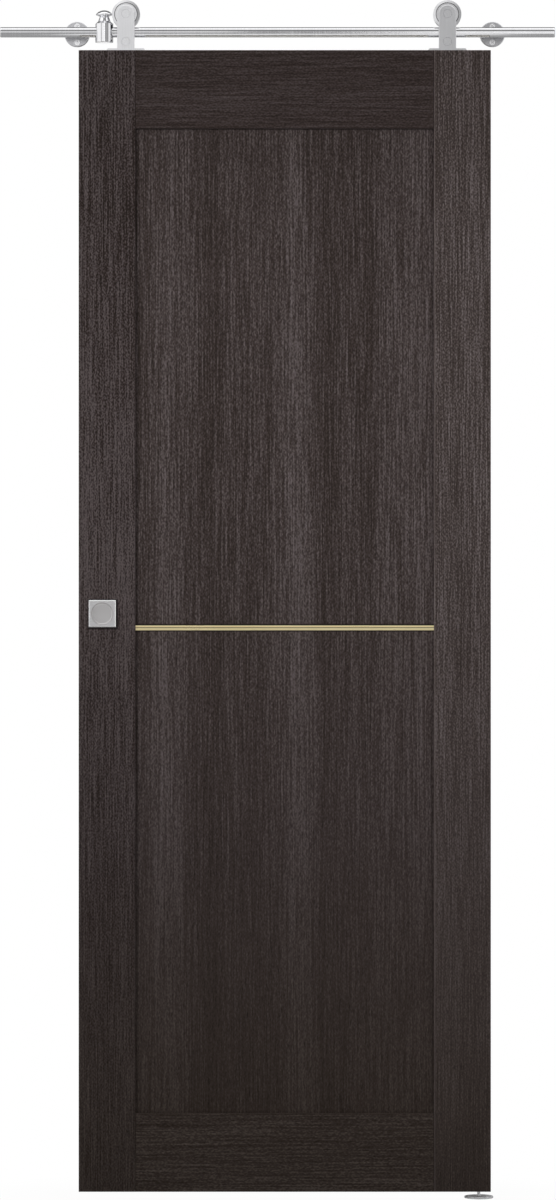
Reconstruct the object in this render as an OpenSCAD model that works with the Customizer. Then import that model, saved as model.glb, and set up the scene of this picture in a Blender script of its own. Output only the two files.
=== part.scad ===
// Sliding barn door that hangs from a round wall rail on two top-mounted hangers.
// Sizes are millimetres. +X runs along the rail to the right, +Y points into the wall, +Z is up.
// The origin lies on the wall plane, midway between the two wall brackets, level with the rail's axis.
// At rest the door stands against the stop at the left end of its travel.

/* [Door leaf] */
// Width of the door
door_w = 762; // [620:1:960]
// Height of the door
door_h = 2111; // [1900:1:2450]
// Thickness of the door's stiles and crossrails
door_t = 40; // [36:1:46]
// Width of each upright stile
stile_w = 105; // [90:1:140]
// Height of the top and bottom crossrails
crossrail_h = 145; // [130:1:200]
// How far the panels lie behind the face of the stiles
panel_recess = 8; // [5:0.5:10]
// Depth of the grooves that hold the panels
groove_depth = 12; // [8:1:16]
// Width of the chamfer along every visible arris of the stiles and crossrails
arris = 1.4; // [0.6:0.1:2.5]
// Room that a panel has in its grooves to swell
panel_play = 1.5; // [0.5:0.5:3]
// Diameter of the dowels in the corner joints
dowel_d = 10; // [8:1:12]
// Length of the dowels in the corner joints
dowel_l = 70; // [50:1:80]

/* [Metal strip] */
// Height of the strip's middle above the bottom edge of the door
strip_height = 1043; // [600:1:1500]
// Width of the strip's visible face
strip_face = 10; // [7:0.5:16]
// Thickness of the strip's two face flanges
strip_flange_t = 4; // [2:0.1:4.5]
// Thickness of the strip's web between the two panels
strip_web_t = 2; // [1.5:0.1:4]
// Width of the fine groove along the middle of the strip's face
strip_groove_w = 1; // [0.6:0.1:2]

/* [Flush pull] */
// Side of the square pull plate
pull_side = 50; // [48:1:64]
// How far the pull stands proud of the door
pull_proud = 1.6; // [1.2:0.1:3]
// Width of the raised rim around the pull
pull_rim_w = 1.9; // [1.2:0.1:2.6]
// Depth of the step inside the raised rim
pull_rim_step = 0.7; // [0.3:0.1:1]
// Width of the bevel around the outside of the pull's rim
pull_bevel = 1.3; // [0.4:0.1:1.4]
// Diameter of the round finger dish
dish_d = 41; // [30:1:42]
// Depth of the round finger dish
dish_depth = 8; // [6:0.5:12]
// Radius of the rounded corner around the bottom of the dish
dish_round = 4; // [1:0.5:5]
// Thickness of metal behind the dish
dish_wall = 1.2; // [0.8:0.1:2]
// Distance from the door's left edge to the middle of the pull
pull_inset = 43.5; // [38:0.5:55]
// Height of the middle of the pull above the bottom edge of the door
pull_height = 1069; // [800:1:1300]

/* [Rail] */
// Outside diameter of the rail tube
rail_d = 19; // [18:0.5:25]
// Wall of the rail tube
rail_wall = 1.5; // [1.2:0.1:2.5]
// Length of rail beyond the left bracket
rail_left_overhang = 141.5; // [110:0.5:600]
// Length of rail beyond the right bracket
rail_right_overhang = 114.5; // [100:0.5:1000]
// Thickness of the rounded head of an end cap
cap_t = 3; // [2:0.5:6]
// Length of an end cap's spigot inside the tube
cap_spigot_l = 14; // [8:1:30]

/* [Wall brackets] */
// Distance between the two wall brackets
bracket_spacing = 772; // [600:1:1400]
// Distance from the wall to the rail's axis
rail_standoff = 35; // [33:0.5:60]
// Diameter of a wall flange
flange_d = 47; // [44:1:60]
// Thickness of a wall flange
flange_t = 6; // [4:0.5:7]
// Diameter of the post between flange and rail
post_d = 12; // [9:0.5:12]
// Distance between the two wall screws of one flange
wall_screw_pitch = 30; // [27:0.5:34]
// Diameter of the holes for the wall screws
wall_screw_hole_d = 5.2; // [4:0.1:6]
// Diameter of the countersinks for the wall screws
wall_screw_sink_d = 10.4; // [8:0.1:11]
// Thread diameter of the stud that holds flange, post and rail together
stud_d = 6; // [5:0.5:7]
// Length of the barrel nut inside the rail
barrel_nut_l = 24; // [16:1:40]

/* [Hangers] */
// Distance from the door's left edge to the left hanger
hanger_inset_left = 87; // [75:0.5:94]
// Distance from the door's right edge to the right hanger
hanger_inset_right = 80; // [74:0.5:94]
// Outside diameter of a wheel
wheel_d = 52; // [48:1:70]
// Width of a wheel
wheel_w = 20; // [18:0.5:21]
// Width of the sloping rim on each face of a wheel
wheel_rim = 4.7; // [3.5:0.1:6]
// How far that rim slopes back to the wheel's edge
wheel_slope = 2; // [0.5:0.1:2.2]
// Depth of the shallow recess inside that rim
wheel_recess = 1; // [0.5:0.1:1.5]
// Depth of the groove that runs on the rail
wheel_groove = 3; // [2:0.1:3.2]
// Width of the flat bar of a hanger
strap_w = 32; // [26:1:40]
// Thickness of the flat bar of a hanger
strap_t = 6; // [4:0.5:8]
// Gap between a hanger's bar and its wheel
strap_gap = 1; // [0.6:0.1:2]
// Length of a hanger's base plate
base_l = 72; // [71:1:84]
// Depth of a hanger's base plate, front to back
base_depth = 34; // [32:1:36]
// Thickness of a hanger's base plate
base_t = 3.5; // [3:0.5:6]
// Slope length at each end of a base plate
base_bevel = 3; // [1:0.5:4]
// Distance between the two wood screws of a base plate
base_screw_pitch = 61; // [59:0.5:62]
// Diameter of the two pins that show in the face of a hanger's bar
pin_d = 16; // [14:0.5:18]
// Gap between the rail and the anti-jump pin under it
pin_clear = 1.5; // [1:0.1:4]
// Gap between the anti-jump pin and the base plate
pin_to_base = 4.5; // [3:0.5:12]
// Diameter of the wheel's axle
axle_d = 10; // [9:0.5:10]

/* [Wheel bearing] */
// Outside diameter of the ball bearing
bearing_d = 26; // [25:0.5:28]
// Width of the ball bearing
bearing_w = 8; // [7:0.5:9]
// Diameter of the balls
ball_d = 4.6; // [4:0.1:4.8]
// Number of balls
ball_count = 8; // [6:1:9]

/* [Stop] */
// Diameter of the stop's body
stop_d = 33.4; // [30:0.2:38]
// Depth of the stop's body below the rail's axis
stop_below = 20; // [16:0.5:24]
// Height of the stop's straight side above the rail's axis
stop_shoulder = 15.5; // [14:0.5:17]
// Diameter of the stop above its conical shoulder
stop_cone_d = 23; // [21:0.2:25]
// Diameter of the stop's neck under the knob
stop_neck_d = 18; // [16:0.2:20]
// Diameter of the bumper knob
knob_d = 31.4; // [28:0.2:36]
// Height of the knob's dome
knob_dome = 6.6; // [5:0.1:9]
// Depth of the knob's flared underside
knob_under = 5; // [4:0.1:6]

/* [Floor guide] */
// Diameter of the guide's base
guide_d = 53.5; // [46:0.5:60]
// Thickness of the guide's base
guide_t = 3; // [2.5:0.5:5]
// Diameter of the guide's pin
guide_pin_d = 5.6; // [5:0.1:8]
// Height of the guide's pin inside the door's groove
guide_pin_reach = 14; // [8:1:16]
// Gap between the door and the floor
floor_gap = 13; // [8:0.5:20]
// Distance from the door's right edge to the guide
guide_inset = 21.5; // [18:0.5:60]
// Distance between the two floor screws of the guide
guide_screw_pitch = 34; // [28:0.5:36]
// Diameter of the holes for the floor screws
guide_screw_hole_d = 4.2; // [3.5:0.1:5]

/* [Hidden] */
$fn = 64;

// Clearances
fit = 0.05;           // radial room of pieces that are pressed, glued or screwed together
wheel_gap = 0.2;      // running gap between the wheel's groove and the rail
stop_gap = 0.3;       // gap between the bumper knob and the wheel at rest
guide_play = 0.6;     // room of the guide's pin on each side of the door's groove
guide_headroom = 4;   // room above the guide's pin in the door's groove
dowel_clear = 10;     // wood left between a dowel and a screw's tip or a panel's groove
past = 1;             // how far a cut runs past the face that it leaves

// Small features
strap_bevel = 0.8;
pin_bevel = 0.5;
weld = 3;
strip_bevel = 0.5;
strip_groove = 0.6;   // depth of the fine groove in the strip's face
flange_bevel = 1.2;
recess_cut = 0.7;      // slope of the wall of a wheel's recess
rail_relief = 0.5;    // the wheel's groove is this much wider in radius than the rail
cap_round = 1.6;
stop_round = 2;       // roundness of the stop's lower edge
cone_rise = 4.6;      // height of the stop's conical shoulder
knob_rim_r = 2;       // roundness of the knob's rim
knob_stud_d = 8;
knob_stud_l = 6;
grub_d = 5;
spacer_wall = 2;
axle_tap_d = 6;
axle_tap_depth = 10;
axle_screw_head_d = 14;
axle_screw_head_t = 3;
wood_screw_d = 4.5;
wood_screw_l = 45;
wood_screw_head_d = 9;
wood_screw_dome = 1;
cross_l = 4.8;        // length, width and depth of the cross recess in a wood screw's head
cross_w = 1.2;
cross_depth = 2;
race_share = 0.34;    // share of the bearing's section that each race takes

// Door leaf, in the plane under the rail
panel_t = door_t - 2 * panel_recess;
opening_w = door_w - 2 * stile_w;
mid_y = -rail_standoff;
front_y = mid_y - door_t / 2;
back_y = mid_y + door_t / 2;
hanger_drop = rail_d / 2 + pin_clear + pin_d + pin_to_base + base_t;
door_top = -hanger_drop;
door_bottom = door_top - door_h;
floor_z = door_bottom - floor_gap;
opening_top = door_top - crossrail_h;
opening_bottom = door_bottom + crossrail_h;
strip_z = door_bottom + strip_height;
panel_reach = opening_w / 2 + groove_depth - panel_play;
tenon_reach = opening_w / 2 + groove_depth - fit;
guide_groove_h = guide_pin_reach + guide_headroom;
dowel_offsets = [  // from the top or bottom edge of the door
    wood_screw_l + dowel_clear + dowel_d / 2,
    crossrail_h - groove_depth - dowel_clear - dowel_d / 2
];

// Pull
pull_x = -door_w / 2 + pull_inset;
pull_z = door_bottom + pull_height;
cup_d = dish_d + 2 * dish_wall;
cup_depth = pull_rim_step - pull_proud + dish_depth + dish_wall;

// Rail and brackets
bracket_x = [-bracket_spacing / 2, bracket_spacing / 2];
rail_left = bracket_x[0] - rail_left_overhang;
rail_right = bracket_x[1] + rail_right_overhang;
tube_inner_d = rail_d - 2 * rail_wall;
stud_end_y = -rail_standoff - tube_inner_d / 4;

// Hangers
hanger_x = [-door_w / 2 + hanger_inset_left, door_w / 2 - hanger_inset_right];
wheel_z = rail_d / 2 + wheel_gap + wheel_d / 2 - wheel_groove;
strap_back = mid_y - wheel_w / 2 - strap_gap;
strap_front = strap_back - strap_t;
pin_z = -(rail_d / 2 + pin_clear + pin_d / 2);
groove_r = rail_d / 2 + rail_relief;
groove_half = sqrt(groove_r * groove_r - pow(groove_r - wheel_groove, 2));
ball_pitch_r = (axle_d + bearing_d) / 4;
ball_track_r = ball_d / 2 + 0.1;
race_t = (bearing_d - axle_d) / 2 * race_share;
base_screw_y = mid_y;

// Stop: the knob's rim meets the wheel level with its axle, at the edges of the wheel's groove
stop_x = hanger_x[0] - wheel_d / 2 - sqrt(knob_d * knob_d / 4 - groove_half * groove_half) - stop_gap;
neck_z = wheel_z - knob_under;

// Floor guide
guide_x = door_w / 2 - guide_inset;

// Extrusions and turnings along the three axes

// A profile in Y and Z, run along +X
module along_x(length) {
    rotate([90, 0, 90]) linear_extrude(length) children();
}

// A profile in X and Z, run from y0 to y1
module along_y(y0, y1) {
    translate([0, y1, 0]) rotate([90, 0, 0]) linear_extrude(y1 - y0) children();
}

// A profile of radius and length, turned about an axis along +X
module turned_x() {
    rotate([0, 90, 0]) rotate_extrude() children();
}

// A profile of radius and length, turned about an axis along +Y
module turned_y() {
    rotate([-90, 0, 0]) rotate_extrude() children();
}

// A rectangle about its centre with its four corners cut off
module bevelled_rect(w, h, cut) {
    polygon([
        [-w / 2 + cut, -h / 2], [w / 2 - cut, -h / 2], [w / 2, -h / 2 + cut], [w / 2, h / 2 - cut],
        [w / 2 - cut, h / 2], [-w / 2 + cut, h / 2], [-w / 2, h / 2 - cut], [-w / 2, -h / 2 + cut]
    ]);
}

// Half the section of a round plate, with a bevel at its front and back rims
module disc_section(r, t, front_cut, back_cut) {
    polygon([[0, 0], [r - front_cut, 0], [r, front_cut], [r, t - back_cut], [r - back_cut, t], [0, t]]);
}

// A ring about an axis along +Y
module ring_y(outer_d, inner_d, length) {
    turned_y() translate([inner_d / 2, 0]) square([(outer_d - inner_d) / 2, length]);
}

// A round hole along +Y with a countersink at its front mouth, from y = 0 to y = depth
module sunk_hole_y(hole_d, sink_d, depth) {
    translate([0, -past, 0]) rotate([-90, 0, 0]) cylinder(d = hole_d, h = depth + 2 * past);
    rotate([-90, 0, 0]) cylinder(d1 = sink_d, d2 = hole_d, h = (sink_d - hole_d) / 2);
}

// A round hole along +Z with a countersink at its top mouth, from z = 0 to z = depth
module sunk_hole_z(hole_d, sink_d, depth) {
    translate([0, 0, -past]) cylinder(d = hole_d, h = depth + 2 * past);
    translate([0, 0, depth - (sink_d - hole_d) / 2])
        cylinder(d1 = hole_d, d2 = sink_d, h = (sink_d - hole_d) / 2);
}

// Rail

module rail() {
    color("lightgray") difference() {
        translate([rail_left + cap_t, mid_y, 0]) turned_x()
            translate([tube_inner_d / 2, 0]) square([rail_wall, rail_right - rail_left - 2 * cap_t]);
        for (x = bracket_x) translate([x, mid_y, 0])
            rotate([-90, 0, 0]) cylinder(d = stud_d + 2 * fit, h = rail_d);
    }
}

// End cap with its head towards +X and its spigot inside the tube
module end_cap() {
    head_r = rail_d / 2;
    color("lightgray") turned_x() {
        translate([0, -cap_spigot_l]) square([tube_inner_d / 2 - fit, cap_spigot_l + past]);
        square([head_r, cap_t - cap_round]);
        square([head_r - cap_round, cap_t]);
        translate([head_r - cap_round, cap_t - cap_round]) intersection() {
            circle(cap_round);
            square(cap_round);
        }
    }
}

module left_end_cap() {
    translate([rail_left + cap_t, mid_y, 0]) mirror([1, 0, 0]) end_cap();
}

module right_end_cap() {
    translate([rail_right - cap_t, mid_y, 0]) end_cap();
}

// Wall brackets

module wall_flange(x) {
    color("silver") translate([x, -flange_t, 0]) difference() {
        turned_y() disc_section(flange_d / 2, flange_t, flange_bevel, 0);
        translate([0, -past, 0]) rotate([-90, 0, 0]) cylinder(d = stud_d + 2 * fit, h = flange_t + 2 * past);
        for (side = [-1, 1]) translate([0, 0, side * wall_screw_pitch / 2])
            sunk_hole_y(wall_screw_hole_d, wall_screw_sink_d, flange_t);
    }
}

// The post's front end is a saddle that seats the rail
module post(x) {
    color("silver") translate([x, mid_y, 0]) difference() {
        rotate([-90, 0, 0]) cylinder(d = post_d, h = rail_standoff - flange_t);
        translate([0, -past, 0]) rotate([-90, 0, 0]) cylinder(d = stud_d + 2 * fit, h = rail_standoff);
        translate([-post_d, 0, 0]) rotate([0, 90, 0]) cylinder(d = rail_d + 2 * fit, h = 2 * post_d);
    }
}

module bracket_studs() {
    color("gray") for (x = bracket_x) translate([x, stud_end_y, 0])
        rotate([-90, 0, 0]) cylinder(d = stud_d, h = -stud_end_y - fit);
}

// Barrel nuts slide inside the tube and take the studs from behind
module barrel_nuts() {
    color("gray") for (x = bracket_x) translate([x, mid_y, 0]) difference() {
        translate([-barrel_nut_l / 2, 0, 0]) rotate([0, 90, 0])
            cylinder(d = tube_inner_d - 2 * fit, h = barrel_nut_l);
        translate([0, stud_end_y - mid_y - fit, 0]) rotate([-90, 0, 0])
            cylinder(d = stud_d + 2 * fit, h = rail_d);
    }
}

// Stop

module stop_body() {
    r = stop_d / 2;
    neck_r = stop_neck_d / 2;
    color("gainsboro") translate([stop_x, mid_y, 0]) difference() {
        rotate_extrude() {
            polygon([
                [0, -stop_below], [r - stop_round, -stop_below], [r, -stop_below + stop_round],
                [r, stop_shoulder], [stop_cone_d / 2, stop_shoulder + cone_rise], [neck_r, neck_z], [0, neck_z]
            ]);
            translate([r - stop_round, -stop_below + stop_round]) circle(stop_round);
        }
        translate([-stop_d, 0, 0]) rotate([0, 90, 0]) cylinder(d = rail_d + 2 * fit, h = 2 * stop_d);
        translate([0, 0, neck_z - knob_stud_l - fit])
            cylinder(d = knob_stud_d + 2 * fit, h = knob_stud_l + past);
        rotate([-90, 0, 0]) cylinder(d = grub_d + 2 * fit, h = stop_d);
    }
}

// The knob screws into the stop's body, and its rounded rim takes the knock of the wheel
module stop_knob() {
    rim_x = knob_d / 2 - knob_rim_r;
    edge_x = rim_x + knob_rim_r * cos(45);
    edge_z = knob_under + knob_rim_r * sin(45);
    dome_r = (edge_x * edge_x + knob_dome * knob_dome) / (2 * knob_dome);
    color("gainsboro") translate([stop_x, mid_y, neck_z]) rotate_extrude() {
        translate([0, -knob_stud_l]) square([knob_stud_d / 2, knob_stud_l + past]);
        polygon([
            [0, 0], [stop_neck_d / 2 - strap_bevel, 0], [stop_neck_d / 2 - strap_bevel, strap_bevel],
            [rim_x, knob_under - knob_rim_r], [rim_x, knob_under], [edge_x, edge_z], [0, edge_z]
        ]);
        translate([rim_x, knob_under]) circle(knob_rim_r);
        intersection() {
            translate([0, edge_z + knob_dome - dome_r]) circle(dome_r);
            translate([0, edge_z]) square([edge_x, knob_dome]);
        }
    }
}

module stop_grub_screw() {
    inner = rail_d / 2 + 2 * fit;
    length = sqrt(stop_d * stop_d / 4 - grub_d * grub_d / 4) - inner - pin_bevel;
    color("dimgray") translate([stop_x, mid_y + inner, 0]) rotate([-90, 0, 0]) difference() {
        cylinder(d = grub_d, h = length);
        translate([0, 0, length / 2]) cylinder(d = grub_d / 2, h = length, $fn = 6);
    }
}

// Floor guide

module guide_base() {
    color("darkgray") translate([guide_x, mid_y, floor_z]) difference() {
        rotate_extrude() polygon([
            [0, 0], [guide_d / 2, 0], [guide_d / 2, guide_t - strap_bevel],
            [guide_d / 2 - strap_bevel, guide_t], [0, guide_t]
        ]);
        translate([0, 0, -past]) cylinder(d = guide_pin_d + 2 * fit, h = guide_t + 2 * past);
        for (side = [-1, 1]) translate([side * guide_screw_pitch / 2, 0, 0])
            sunk_hole_z(guide_screw_hole_d, 2 * guide_screw_hole_d, guide_t);
    }
}

module guide_pin() {
    r = guide_pin_d / 2;
    length = floor_gap + guide_pin_reach;
    color("silver") translate([guide_x, mid_y, floor_z]) rotate_extrude()
        polygon([[0, 0], [r, 0], [r, length - strap_bevel], [r - strap_bevel, length], [0, length]]);
}

// Door leaf

// Groove under the door that runs over the guide's pin
module guide_groove() {
    groove_w = guide_pin_d + 2 * guide_play;
    translate([-door_w, mid_y - groove_w / 2, door_bottom - past])
        cube([2 * door_w, groove_w, guide_groove_h + past]);
}

// Holes across the corner joints on one side of the door, for the dowels
module dowel_holes(side) {
    depth = dowel_l / 2 + past;
    for (offset = dowel_offsets, z = [door_top - offset, door_bottom + offset])
        translate([side * tenon_reach - depth, mid_y, z]) rotate([0, 90, 0])
            cylinder(d = dowel_d + 2 * fit, h = 2 * depth);
}

// Pilot holes in the top of the door for the hangers' wood screws
module hanger_pilot_holes() {
    for (x = hanger_x, side = [-1, 1])
        translate([x + side * base_screw_pitch / 2, base_screw_y, door_top - wood_screw_l])
            cylinder(d = wood_screw_d + 2 * fit, h = wood_screw_l + past);
}

// Left stile before its holes are made, grooved on the inner side
module stile_blank() {
    intersection() {
        translate([0, 0, door_bottom]) linear_extrude(door_h) difference() {
            translate([-door_w / 2 + stile_w / 2, mid_y]) bevelled_rect(stile_w, door_t, arris);
            translate([-opening_w / 2 - groove_depth, mid_y - panel_t / 2 - fit])
                square([groove_depth + past, panel_t + 2 * fit]);
        }
        translate([-door_w / 2, mid_y, (door_top + door_bottom) / 2])
            along_x(stile_w) bevelled_rect(door_t, door_h, arris);
    }
}

module left_stile() {
    color("#453d3b") difference() {
        stile_blank();
        guide_groove();
        dowel_holes(-1);
        hanger_pilot_holes();
        for (face = [0, 1]) on_face(face) translate([0, -past, 0])
            rotate([-90, 0, 0]) cylinder(d = cup_d + 2 * fit, h = cup_depth + fit + past);
    }
}

module right_stile() {
    color("#453d3b") difference() {
        mirror([1, 0, 0]) stile_blank();
        guide_groove();
        dowel_holes(1);
        hanger_pilot_holes();
    }
}

// Crossrail from z0 to z1, with stub tenons; the groove for its panel is at z1 if up is true, else at z0
module crossrail_blank(z0, z1, up) {
    h = z1 - z0;
    groove_z = up ? z1 - groove_depth : z0 - past;
    tenon_z = up ? z0 + arris : z0 + groove_depth;
    intersection() {
        translate([-opening_w / 2, mid_y, (z0 + z1) / 2])
            along_x(opening_w) bevelled_rect(door_t, h, arris);
        translate([0, mid_y, z0]) linear_extrude(h) bevelled_rect(opening_w, door_t, arris);
    }
    translate([-tenon_reach, mid_y - panel_t / 2, tenon_z])
        cube([2 * tenon_reach, panel_t, h - groove_depth - arris]);
}

module top_crossrail() {
    color("#3a3331") difference() {
        crossrail_blank(opening_top, door_top, false);
        translate([-opening_w, mid_y - panel_t / 2 - fit, opening_top - past])
            cube([2 * opening_w, panel_t + 2 * fit, groove_depth + past]);
        for (side = [-1, 1]) dowel_holes(side);
        hanger_pilot_holes();
    }
}

module bottom_crossrail() {
    color("#3a3331") difference() {
        crossrail_blank(door_bottom, opening_bottom, true);
        translate([-opening_w, mid_y - panel_t / 2 - fit, opening_bottom - groove_depth])
            cube([2 * opening_w, panel_t + 2 * fit, groove_depth + past]);
        for (side = [-1, 1]) dowel_holes(side);
        guide_groove();
    }
}

module corner_dowels() {
    color("burlywood") for (side = [-1, 1], offset = dowel_offsets)
        for (z = [door_top - offset, door_bottom + offset])
            translate([side * tenon_reach - dowel_l / 2, mid_y, z]) turned_x()
                polygon([
                    [0, 0], [dowel_d / 2 - strap_bevel, 0], [dowel_d / 2, strap_bevel],
                    [dowel_d / 2, dowel_l - strap_bevel], [dowel_d / 2 - strap_bevel, dowel_l], [0, dowel_l]
                ]);
}

// Board between two heights, held in the grooves of the stiles
module panel(z0, z1) {
    color("#40393a") translate([-panel_reach, mid_y - panel_t / 2, z0])
        cube([2 * panel_reach, panel_t, z1 - z0]);
}

module upper_panel() {
    panel(strip_z + strip_web_t / 2 + fit, opening_top + groove_depth - panel_play);
}

module lower_panel() {
    panel(opening_bottom - groove_depth + panel_play, strip_z - strip_web_t / 2 - fit);
}

// Extruded H section between the panels, with a grooved flange on each face of the door
module gold_strip() {
    flange_y = panel_t / 2 + fit;
    face_y = flange_y + strip_flange_t;
    color("#c8b27a") translate([-opening_w / 2 + fit, mid_y, strip_z])
        along_x(opening_w - 2 * fit) difference() {
            union() {
                translate([-flange_y - fit, -strip_web_t / 2]) square([2 * flange_y + 2 * fit, strip_web_t]);
                for (side = [-1, 1]) translate([side * (flange_y + face_y) / 2, 0])
                    bevelled_rect(strip_flange_t, strip_face, strip_bevel);
            }
            for (side = [-1, 1]) translate([side * face_y - strip_groove, -strip_groove_w / 2])
                square([2 * strip_groove, strip_groove_w]);
        }
}

// Places what is made for the front face, with y = 0 on that face, on the front (0) or the back (1)
module on_face(face) {
    translate([pull_x, face == 0 ? front_y : back_y, pull_z]) mirror([0, face, 0]) children();
}

// Square pull with a raised rim around a round finger dish
module flush_pull() {
    tray = pull_side - 2 * pull_rim_w;
    tray_y = pull_rim_step - pull_proud;
    depth = 2 * pull_proud;
    flat_r = dish_d / 2 - dish_round;
    color("darkgray") difference() {
        union() {
            intersection() {
                translate([-pull_side / 2, 0, 0]) along_x(pull_side) bevelled_rect(depth, pull_side, pull_bevel);
                translate([0, 0, -pull_side / 2]) linear_extrude(pull_side)
                    bevelled_rect(pull_side, depth, pull_bevel);
                translate([-pull_side, -pull_side, -pull_side])
                    cube([2 * pull_side, pull_side, 2 * pull_side]);
            }
            translate([0, tray_y, 0]) rotate([-90, 0, 0]) cylinder(d = cup_d, h = cup_depth - tray_y);
        }
        translate([-tray / 2, -pull_side + tray_y, -tray / 2]) cube([tray, pull_side, tray]);
        translate([0, tray_y, 0]) turned_y() {
            translate([0, -past]) square([dish_d / 2, dish_depth - dish_round + past]);
            square([flat_r, dish_depth]);
            translate([flat_r, dish_depth - dish_round]) circle(dish_round);
        }
    }
}

module front_pull() {
    on_face(0) flush_pull();
}

module rear_pull() {
    on_face(1) flush_pull();
}

// Hangers

// Flat bar with a round end, welded upright on a base plate
module hanger(x) {
    color("lightgray") translate([x, 0, 0]) difference() {
        union() {
            translate([0, strap_front, wheel_z]) turned_y()
                disc_section(strap_w / 2, strap_t, strap_bevel, strap_bevel);
            translate([0, strap_front + strap_t / 2, door_top]) linear_extrude(wheel_z - door_top)
                bevelled_rect(strap_w, strap_t, strap_bevel);
            along_y(mid_y - base_depth / 2, mid_y + base_depth / 2) polygon([
                [-base_l / 2, door_top], [base_l / 2, door_top], [base_l / 2 - base_bevel, door_top + base_t],
                [-base_l / 2 + base_bevel, door_top + base_t]
            ]);
            translate([-strap_w / 2 + strap_bevel, 0, 0]) along_x(strap_w - 2 * strap_bevel) polygon([
                [strap_back - strap_bevel, door_top + base_t / 2],
                [strap_back + weld, door_top + base_t / 2], [strap_back + weld, door_top + base_t],
                [strap_back, door_top + base_t + weld], [strap_back - strap_bevel, door_top + base_t + weld]
            ]);
        }
        for (z = [wheel_z, pin_z]) translate([0, strap_front - past, z])
            rotate([-90, 0, 0]) cylinder(d = pin_d + 2 * fit, h = strap_t + 2 * past);
        for (side = [-1, 1]) translate([side * base_screw_pitch / 2, base_screw_y, door_top])
            sunk_hole_z(wood_screw_d + 2 * fit, wood_screw_head_d + 2 * fit, base_t);
    }
}

// Raised countersunk wood screws with a cross recess, which hold the base plates down
module hanger_screws() {
    head_r = wood_screw_head_d / 2;
    shank_r = wood_screw_d / 2;
    top = base_t;
    under = top - (head_r - shank_r);
    tip = -wood_screw_l + fit;
    dome_r = (head_r * head_r + wood_screw_dome * wood_screw_dome) / (2 * wood_screw_dome);
    color("silver") for (x = hanger_x, side = [-1, 1])
        translate([x + side * base_screw_pitch / 2, base_screw_y, door_top]) difference() {
            rotate_extrude() {
                polygon([
                    [0, tip], [shank_r, tip + 2 * wood_screw_d], [shank_r, under], [head_r, top], [0, top]
                ]);
                intersection() {
                    translate([0, top + wood_screw_dome - dome_r]) circle(dome_r);
                    translate([0, top]) square([head_r, wood_screw_dome]);
                }
            }
            for (turn = [45, 135]) rotate(turn)
                translate([-cross_l / 2, -cross_w / 2, top + wood_screw_dome - cross_depth])
                    cube([cross_l, cross_w, cross_depth + past]);
        }
}

// Axle with a head that is pressed flush into the bar
module axle(x) {
    inner_end = mid_y + bearing_w / 2 - strap_front - fit;
    color("silver") translate([x, strap_front, wheel_z]) difference() {
        turned_y() polygon([
            [0, 0], [pin_d / 2 - pin_bevel, 0], [pin_d / 2, pin_bevel], [pin_d / 2, strap_t],
            [axle_d / 2, strap_t], [axle_d / 2, inner_end], [0, inner_end]
        ]);
        translate([0, inner_end - axle_tap_depth, 0]) rotate([-90, 0, 0])
            cylinder(d = axle_tap_d + 2 * fit, h = axle_tap_depth + past);
    }
}

// Sleeve that keeps the bearing clear of the bar
module spacer(x) {
    color("gray") translate([x, strap_back, wheel_z])
        ring_y(axle_d + 2 * spacer_wall, axle_d + 2 * fit, mid_y - bearing_w / 2 - strap_back - fit);
}

// Screw in the end of the axle that holds the inner race
module axle_screw(x) {
    color("gray") translate([x, mid_y + bearing_w / 2, wheel_z]) difference() {
        turned_y() polygon([
            [0, -axle_tap_depth], [axle_tap_d / 2, -axle_tap_depth], [axle_tap_d / 2, 0],
            [axle_screw_head_d / 2, 0], [axle_screw_head_d / 2, axle_screw_head_t - pin_bevel],
            [axle_screw_head_d / 2 - pin_bevel, axle_screw_head_t], [0, axle_screw_head_t]
        ]);
        translate([0, axle_screw_head_t / 3, 0]) rotate([-90, 0, 0])
            cylinder(d = axle_tap_d * 0.7, h = axle_screw_head_t, $fn = 6);
    }
}

// Pin pressed into the bar that passes under the rail and stops the door from lifting off
module anti_jump_pin(x) {
    length = strap_t + strap_gap + wheel_w;
    r = pin_d / 2;
    color("silver") translate([x, strap_front, pin_z]) turned_y() polygon([
        [0, 0], [r - pin_bevel, 0], [r, pin_bevel],
        [r, length - pin_bevel], [r - pin_bevel, length], [0, length]
    ]);
}

// Bearings and wheels

// Ring with the balls' track cut into it
module race(x, outer_d, inner_d) {
    color("darkgray") translate([x, mid_y, wheel_z]) difference() {
        translate([0, -bearing_w / 2, 0]) ring_y(outer_d, inner_d, bearing_w);
        turned_y() translate([ball_pitch_r, 0]) circle(ball_track_r);
    }
}

module inner_race(x) {
    race(x, axle_d + 2 * race_t, axle_d + 2 * fit);
}

module outer_race(x) {
    race(x, bearing_d - 2 * fit, bearing_d - 2 * race_t);
}

module balls(x) {
    color("lightsteelblue") translate([x, mid_y, wheel_z])
        for (i = [0 : ball_count - 1]) rotate([0, i * 360 / ball_count, 0])
            translate([ball_pitch_r, 0, 0]) sphere(d = ball_d);
}

// Turned wheel with a round groove for the rail, sloping rims and a bearing seat that is open to the back
module wheel(x) {
    lip_r = bearing_d / 2 - 2;
    crest_r = wheel_d / 2 - wheel_rim;
    face = wheel_w / 2;
    edge = face - wheel_slope;
    web = face - wheel_recess;
    color("whitesmoke") translate([x, mid_y, wheel_z]) difference() {
        turned_y() polygon([
            [0, -web], [crest_r - recess_cut, -web], [crest_r, -face], [wheel_d / 2, -edge],
            [wheel_d / 2, edge], [crest_r, face], [crest_r - recess_cut, web], [0, web]
        ]);
        turned_y() translate([wheel_d / 2 - wheel_groove + groove_r, 0]) circle(groove_r);
        translate([0, -wheel_w, 0]) rotate([-90, 0, 0]) cylinder(r = lip_r, h = 2 * wheel_w);
        translate([0, -bearing_w / 2, 0]) rotate([-90, 0, 0]) cylinder(d = bearing_d, h = wheel_w);
    }
}

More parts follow.
